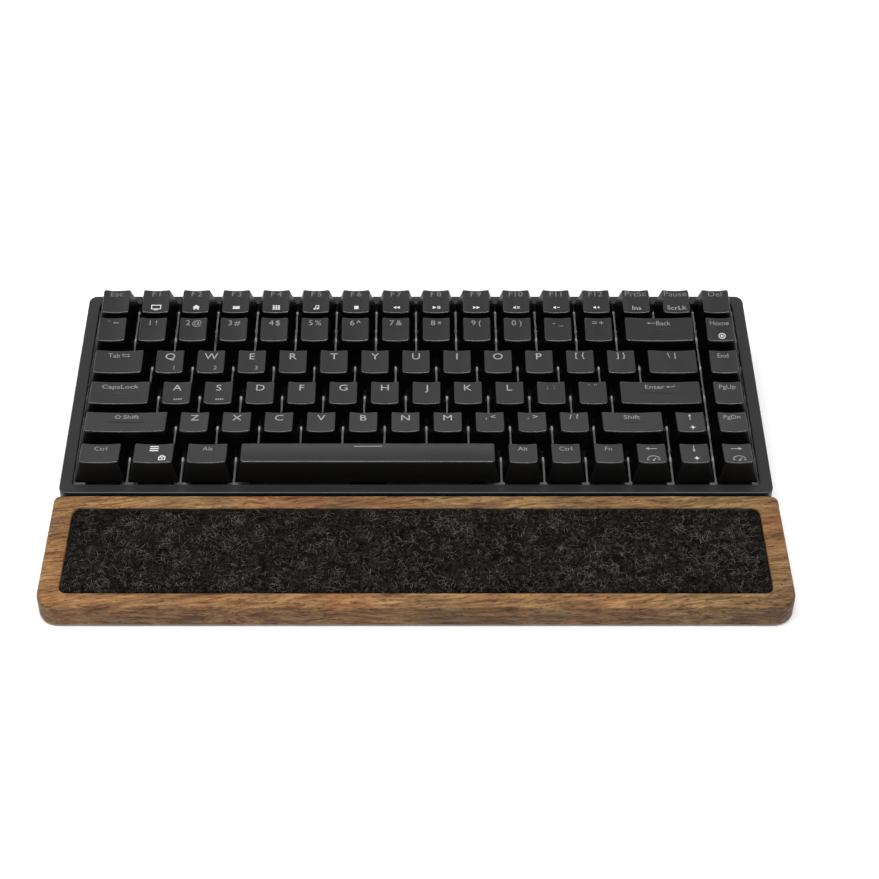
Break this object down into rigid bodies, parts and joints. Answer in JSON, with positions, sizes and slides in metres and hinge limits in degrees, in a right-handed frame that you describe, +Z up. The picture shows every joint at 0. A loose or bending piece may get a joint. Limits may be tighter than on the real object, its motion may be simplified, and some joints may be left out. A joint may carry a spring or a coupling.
{
  "type": "mechanical keyboard",
  "caption": "Compact mechanical keyboard with tall sculpted keycaps in a wedge case, and a separate wooden wrist rest with a felt inlay in front of it.",
  "frame": {"origin": "bottom centre of the keyboard and wrist rest together, on the table", "axes": "+X along the key rows to the right, +Y from the wrist rest to the back of the keyboard, +Z up"},
  "size_m": [0.32, 0.1906, 0.0407],
  "materials": {
    "case_plastic": "fine moulded texture, satin",
    "keycap_plastic": "satin on top, glossier on the sides",
    "plate_metal": "light grey powder coat",
    "board": "solder mask",
    "housing_plastic": "moulded",
    "spring_steel": "bright wire",
    "led_lens": "clear resin",
    "chip_resin": "moulded",
    "battery_wrap": "foil pouch",
    "port_steel": "drawn shell",
    "switch_knob": "moulded",
    "screw_steel": "black oxide",
    "foot_rubber": "matt",
    "rest_wood": "oiled oak, open grain",
    "rest_felt": "melange wool felt"
  },
  "bodies": {
    "case": {"bottom_case": "case_plastic", "top_case": "case_plastic", "switch_plate": "plate_metal", "circuit_board": "board", "switch_housings": "housing_plastic", "switch_springs": "spring_steel", "stabilizer_housings": "housing_plastic", "backlight_leds": "led_lens", "controller_chip": "chip_resin", "battery": "battery_wrap", "usb_c_port": "port_steel", "plate_screws": "screw_steel", "rubber_feet": "foot_rubber"},
    "key_q": {"key_q": "keycap_plastic"},
    "key_w": {"key_w": "keycap_plastic"},
    "key_e": {"key_e": "keycap_plastic"},
    "key_r": {"key_r": "keycap_plastic"},
    "key_t": {"key_t": "keycap_plastic"},
    "key_y": {"key_y": "keycap_plastic"},
    "key_u": {"key_u": "keycap_plastic"},
    "key_i": {"key_i": "keycap_plastic"},
    "key_o": {"key_o": "keycap_plastic"},
    "key_p": {"key_p": "keycap_plastic"},
    "key_a": {"key_a": "keycap_plastic"},
    "key_s": {"key_s": "keycap_plastic"},
    "key_d": {"key_d": "keycap_plastic"},
    "key_f": {"key_f": "keycap_plastic"},
    "key_g": {"key_g": "keycap_plastic"},
    "key_h": {"key_h": "keycap_plastic"},
    "key_j": {"key_j": "keycap_plastic"},
    "key_k": {"key_k": "keycap_plastic"},
    "key_l": {"key_l": "keycap_plastic"},
    "key_z": {"key_z": "keycap_plastic"},
    "key_x": {"key_x": "keycap_plastic"},
    "key_c": {"key_c": "keycap_plastic"},
    "key_v": {"key_v": "keycap_plastic"},
    "key_b": {"key_b": "keycap_plastic"},
    "key_n": {"key_n": "keycap_plastic"},
    "key_m": {"key_m": "keycap_plastic"},
    "key_escape": {"key_escape": "keycap_plastic"},
    "key_space": {"key_space": "keycap_plastic"},
    "key_enter": {"key_enter": "keycap_plastic"},
    "key_backspace": {"key_backspace": "keycap_plastic"},
    "key_left_shift": {"key_left_shift": "keycap_plastic"},
    "function_keys": {"function_keys": "keycap_plastic"},
    "number_keys": {"number_keys": "keycap_plastic"},
    "punctuation_keys": {"punctuation_keys": "keycap_plastic"},
    "navigation_keys": {"navigation_keys": "keycap_plastic"},
    "arrow_keys": {"arrow_keys": "keycap_plastic"},
    "modifier_keys": {"modifier_keys": "keycap_plastic"},
    "space_wire": {"space_wire": "spring_steel"},
    "left_shift_wire": {"left_shift_wire": "spring_steel"},
    "enter_wire": {"enter_wire": "spring_steel"},
    "backspace_wire": {"backspace_wire": "spring_steel"},
    "power_switch": {"power_switch": "switch_knob"},
    "tilt_foot_left": {"tilt_foot_left": "case_plastic"},
    "tilt_foot_right": {"tilt_foot_right": "case_plastic"},
    "wrist_rest": {"wrist_rest_body": "rest_wood", "wrist_rest_felt": "rest_felt", "wrist_rest_feet": "foot_rubber"}
  },
  "joints": [
    {"name": "tilt_foot_left_fold", "type": "hinge", "parent": "case", "child": "tilt_foot_left", "pos_m": [-0.118, 0.0833, 0.0032], "axis": [1, 0, 0], "range_deg": [0, 105]},
    {"name": "tilt_foot_right_fold", "type": "hinge", "parent": "case", "child": "tilt_foot_right", "pos_m": [0.118, 0.0833, 0.0032], "axis": [1, 0, 0], "range_deg": [0, 105]},
    {"name": "power_switch_slide", "type": "slide", "parent": "case", "child": "power_switch", "axis": [1, 0, 0], "range_m": [0, 0.003]},
    {"name": "wrist_rest_pull", "type": "slide", "parent": "case", "child": "wrist_rest", "axis": [0, -1, 0], "range_m": [0, 0.1]},
    {"name": "key_space_press", "type": "slide", "parent": "case", "child": "key_space", "axis": [0, 0.1132, -0.9936], "range_m": [0, 0.004], "stiffness_N_per_m": 75, "springref_m": -0.004, "deforming": ["switch_springs"]},
    {"name": "key_enter_press", "type": "slide", "parent": "case", "child": "key_enter", "axis": [0, 0.1132, -0.9936], "range_m": [0, 0.004], "stiffness_N_per_m": 75, "springref_m": -0.004, "deforming": ["switch_springs"]},
    {"name": "key_backspace_press", "type": "slide", "parent": "case", "child": "key_backspace", "axis": [0, 0.1132, -0.9936], "range_m": [0, 0.004], "stiffness_N_per_m": 75, "springref_m": -0.004, "deforming": ["switch_springs"]},
    {"name": "key_left_shift_press", "type": "slide", "parent": "case", "child": "key_left_shift", "axis": [0, 0.1132, -0.9936], "range_m": [0, 0.004], "stiffness_N_per_m": 75, "springref_m": -0.004, "deforming": ["switch_springs"]},
    {"name": "function_keys_press", "type": "slide", "parent": "case", "child": "function_keys", "axis": [0, 0.1132, -0.9936], "range_m": [0, 0.004], "stiffness_N_per_m": 900, "springref_m": -0.004, "deforming": ["switch_springs"]},
    {"name": "number_keys_press", "type": "slide", "parent": "case", "child": "number_keys", "axis": [0, 0.1132, -0.9936], "range_m": [0, 0.004], "stiffness_N_per_m": 975, "springref_m": -0.004, "deforming": ["switch_springs"]},
    {"name": "punctuation_keys_press", "type": "slide", "parent": "case", "child": "punctuation_keys", "axis": [0, 0.1132, -0.9936], "range_m": [0, 0.004], "stiffness_N_per_m": 600, "springref_m": -0.004, "deforming": ["switch_springs"]},
    {"name": "navigation_keys_press", "type": "slide", "parent": "case", "child": "navigation_keys", "axis": [0, 0.1132, -0.9936], "range_m": [0, 0.004], "stiffness_N_per_m": 525, "springref_m": -0.004, "deforming": ["switch_springs"]},
    {"name": "arrow_keys_press", "type": "slide", "parent": "case", "child": "arrow_keys", "axis": [0, 0.1132, -0.9936], "range_m": [0, 0.004], "stiffness_N_per_m": 300, "springref_m": -0.004, "deforming": ["switch_springs"]},
    {"name": "modifier_keys_press", "type": "slide", "parent": "case", "child": "modifier_keys", "axis": [0, 0.1132, -0.9936], "range_m": [0, 0.004], "stiffness_N_per_m": 675, "springref_m": -0.004, "deforming": ["switch_springs"]},
    {"name": "key_q_press", "type": "slide", "parent": "case", "child": "key_q", "axis": [0, 0.1132, -0.9936], "range_m": [0, 0.004], "stiffness_N_per_m": 75, "springref_m": -0.004, "deforming": ["switch_springs"]},
    {"name": "key_w_press", "type": "slide", "parent": "case", "child": "key_w", "axis": [0, 0.1132, -0.9936], "range_m": [0, 0.004], "stiffness_N_per_m": 75, "springref_m": -0.004, "deforming": ["switch_springs"]},
    {"name": "key_e_press", "type": "slide", "parent": "case", "child": "key_e", "axis": [0, 0.1132, -0.9936], "range_m": [0, 0.004], "stiffness_N_per_m": 75, "springref_m": -0.004, "deforming": ["switch_springs"]},
    {"name": "key_r_press", "type": "slide", "parent": "case", "child": "key_r", "axis": [0, 0.1132, -0.9936], "range_m": [0, 0.004], "stiffness_N_per_m": 75, "springref_m": -0.004, "deforming": ["switch_springs"]},
    {"name": "key_t_press", "type": "slide", "parent": "case", "child": "key_t", "axis": [0, 0.1132, -0.9936], "range_m": [0, 0.004], "stiffness_N_per_m": 75, "springref_m": -0.004, "deforming": ["switch_springs"]},
    {"name": "key_y_press", "type": "slide", "parent": "case", "child": "key_y", "axis": [0, 0.1132, -0.9936], "range_m": [0, 0.004], "stiffness_N_per_m": 75, "springref_m": -0.004, "deforming": ["switch_springs"]},
    {"name": "key_u_press", "type": "slide", "parent": "case", "child": "key_u", "axis": [0, 0.1132, -0.9936], "range_m": [0, 0.004], "stiffness_N_per_m": 75, "springref_m": -0.004, "deforming": ["switch_springs"]},
    {"name": "key_i_press", "type": "slide", "parent": "case", "child": "key_i", "axis": [0, 0.1132, -0.9936], "range_m": [0, 0.004], "stiffness_N_per_m": 75, "springref_m": -0.004, "deforming": ["switch_springs"]},
    {"name": "key_o_press", "type": "slide", "parent": "case", "child": "key_o", "axis": [0, 0.1132, -0.9936], "range_m": [0, 0.004], "stiffness_N_per_m": 75, "springref_m": -0.004, "deforming": ["switch_springs"]},
    {"name": "key_p_press", "type": "slide", "parent": "case", "child": "key_p", "axis": [0, 0.1132, -0.9936], "range_m": [0, 0.004], "stiffness_N_per_m": 75, "springref_m": -0.004, "deforming": ["switch_springs"]},
    {"name": "key_a_press", "type": "slide", "parent": "case", "child": "key_a", "axis": [0, 0.1132, -0.9936], "range_m": [0, 0.004], "stiffness_N_per_m": 75, "springref_m": -0.004, "deforming": ["switch_springs"]},
    {"name": "key_s_press", "type": "slide", "parent": "case", "child": "key_s", "axis": [0, 0.1132, -0.9936], "range_m": [0, 0.004], "stiffness_N_per_m": 75, "springref_m": -0.004, "deforming": ["switch_springs"]},
    {"name": "key_d_press", "type": "slide", "parent": "case", "child": "key_d", "axis": [0, 0.1132, -0.9936], "range_m": [0, 0.004], "stiffness_N_per_m": 75, "springref_m": -0.004, "deforming": ["switch_springs"]},
    {"name": "key_f_press", "type": "slide", "parent": "case", "child": "key_f", "axis": [0, 0.1132, -0.9936], "range_m": [0, 0.004], "stiffness_N_per_m": 75, "springref_m": -0.004, "deforming": ["switch_springs"]},
    {"name": "key_g_press", "type": "slide", "parent": "case", "child": "key_g", "axis": [0, 0.1132, -0.9936], "range_m": [0, 0.004], "stiffness_N_per_m": 75, "springref_m": -0.004, "deforming": ["switch_springs"]},
    {"name": "key_h_press", "type": "slide", "parent": "case", "child": "key_h", "axis": [0, 0.1132, -0.9936], "range_m": [0, 0.004], "stiffness_N_per_m": 75, "springref_m": -0.004, "deforming": ["switch_springs"]},
    {"name": "key_j_press", "type": "slide", "parent": "case", "child": "key_j", "axis": [0, 0.1132, -0.9936], "range_m": [0, 0.004], "stiffness_N_per_m": 75, "springref_m": -0.004, "deforming": ["switch_springs"]},
    {"name": "key_k_press", "type": "slide", "parent": "case", "child": "key_k", "axis": [0, 0.1132, -0.9936], "range_m": [0, 0.004], "stiffness_N_per_m": 75, "springref_m": -0.004, "deforming": ["switch_springs"]},
    {"name": "key_l_press", "type": "slide", "parent": "case", "child": "key_l", "axis": [0, 0.1132, -0.9936], "range_m": [0, 0.004], "stiffness_N_per_m": 75, "springref_m": -0.004, "deforming": ["switch_springs"]},
    {"name": "key_z_press", "type": "slide", "parent": "case", "child": "key_z", "axis": [0, 0.1132, -0.9936], "range_m": [0, 0.004], "stiffness_N_per_m": 75, "springref_m": -0.004, "deforming": ["switch_springs"]},
    {"name": "key_x_press", "type": "slide", "parent": "case", "child": "key_x", "axis": [0, 0.1132, -0.9936], "range_m": [0, 0.004], "stiffness_N_per_m": 75, "springref_m": -0.004, "deforming": ["switch_springs"]},
    {"name": "key_c_press", "type": "slide", "parent": "case", "child": "key_c", "axis": [0, 0.1132, -0.9936], "range_m": [0, 0.004], "stiffness_N_per_m": 75, "springref_m": -0.004, "deforming": ["switch_springs"]},
    {"name": "key_v_press", "type": "slide", "parent": "case", "child": "key_v", "axis": [0, 0.1132, -0.9936], "range_m": [0, 0.004], "stiffness_N_per_m": 75, "springref_m": -0.004, "deforming": ["switch_springs"]},
    {"name": "key_b_press", "type": "slide", "parent": "case", "child": "key_b", "axis": [0, 0.1132, -0.9936], "range_m": [0, 0.004], "stiffness_N_per_m": 75, "springref_m": -0.004, "deforming": ["switch_springs"]},
    {"name": "key_n_press", "type": "slide", "parent": "case", "child": "key_n", "axis": [0, 0.1132, -0.9936], "range_m": [0, 0.004], "stiffness_N_per_m": 75, "springref_m": -0.004, "deforming": ["switch_springs"]},
    {"name": "key_m_press", "type": "slide", "parent": "case", "child": "key_m", "axis": [0, 0.1132, -0.9936], "range_m": [0, 0.004], "stiffness_N_per_m": 75, "springref_m": -0.004, "deforming": ["switch_springs"]},
    {"name": "key_escape_press", "type": "slide", "parent": "case", "child": "key_escape", "axis": [0, 0.1132, -0.9936], "range_m": [0, 0.004], "stiffness_N_per_m": 75, "springref_m": -0.004, "deforming": ["switch_springs"]},
    {"name": "space_wire_swing", "type": "hinge", "parent": "case", "child": "space_wire", "pos_m": [0, -0.00436, 0.01321], "axis": [1, 0, 0], "range_deg": [0, 31]},
    {"name": "left_shift_wire_swing", "type": "hinge", "parent": "case", "child": "left_shift_wire", "pos_m": [0, 0.01456, 0.01537], "axis": [1, 0, 0], "range_deg": [0, 31]},
    {"name": "enter_wire_swing", "type": "hinge", "parent": "case", "child": "enter_wire", "pos_m": [0, 0.03349, 0.01752], "axis": [1, 0, 0], "range_deg": [0, 31]},
    {"name": "backspace_wire_swing", "type": "hinge", "parent": "case", "child": "backspace_wire", "pos_m": [0, 0.07135, 0.02184], "axis": [1, 0, 0], "range_deg": [0, 31]}
  ],
  "couplings": [
    {"joint": "space_wire_swing", "follows": "key_space_press", "rad_per_m": 134.97},
    {"joint": "left_shift_wire_swing", "follows": "key_left_shift_press", "rad_per_m": 134.97},
    {"joint": "enter_wire_swing", "follows": "key_enter_press", "rad_per_m": 134.97},
    {"joint": "backspace_wire_swing", "follows": "key_backspace_press", "rad_per_m": 134.97}
  ]
}
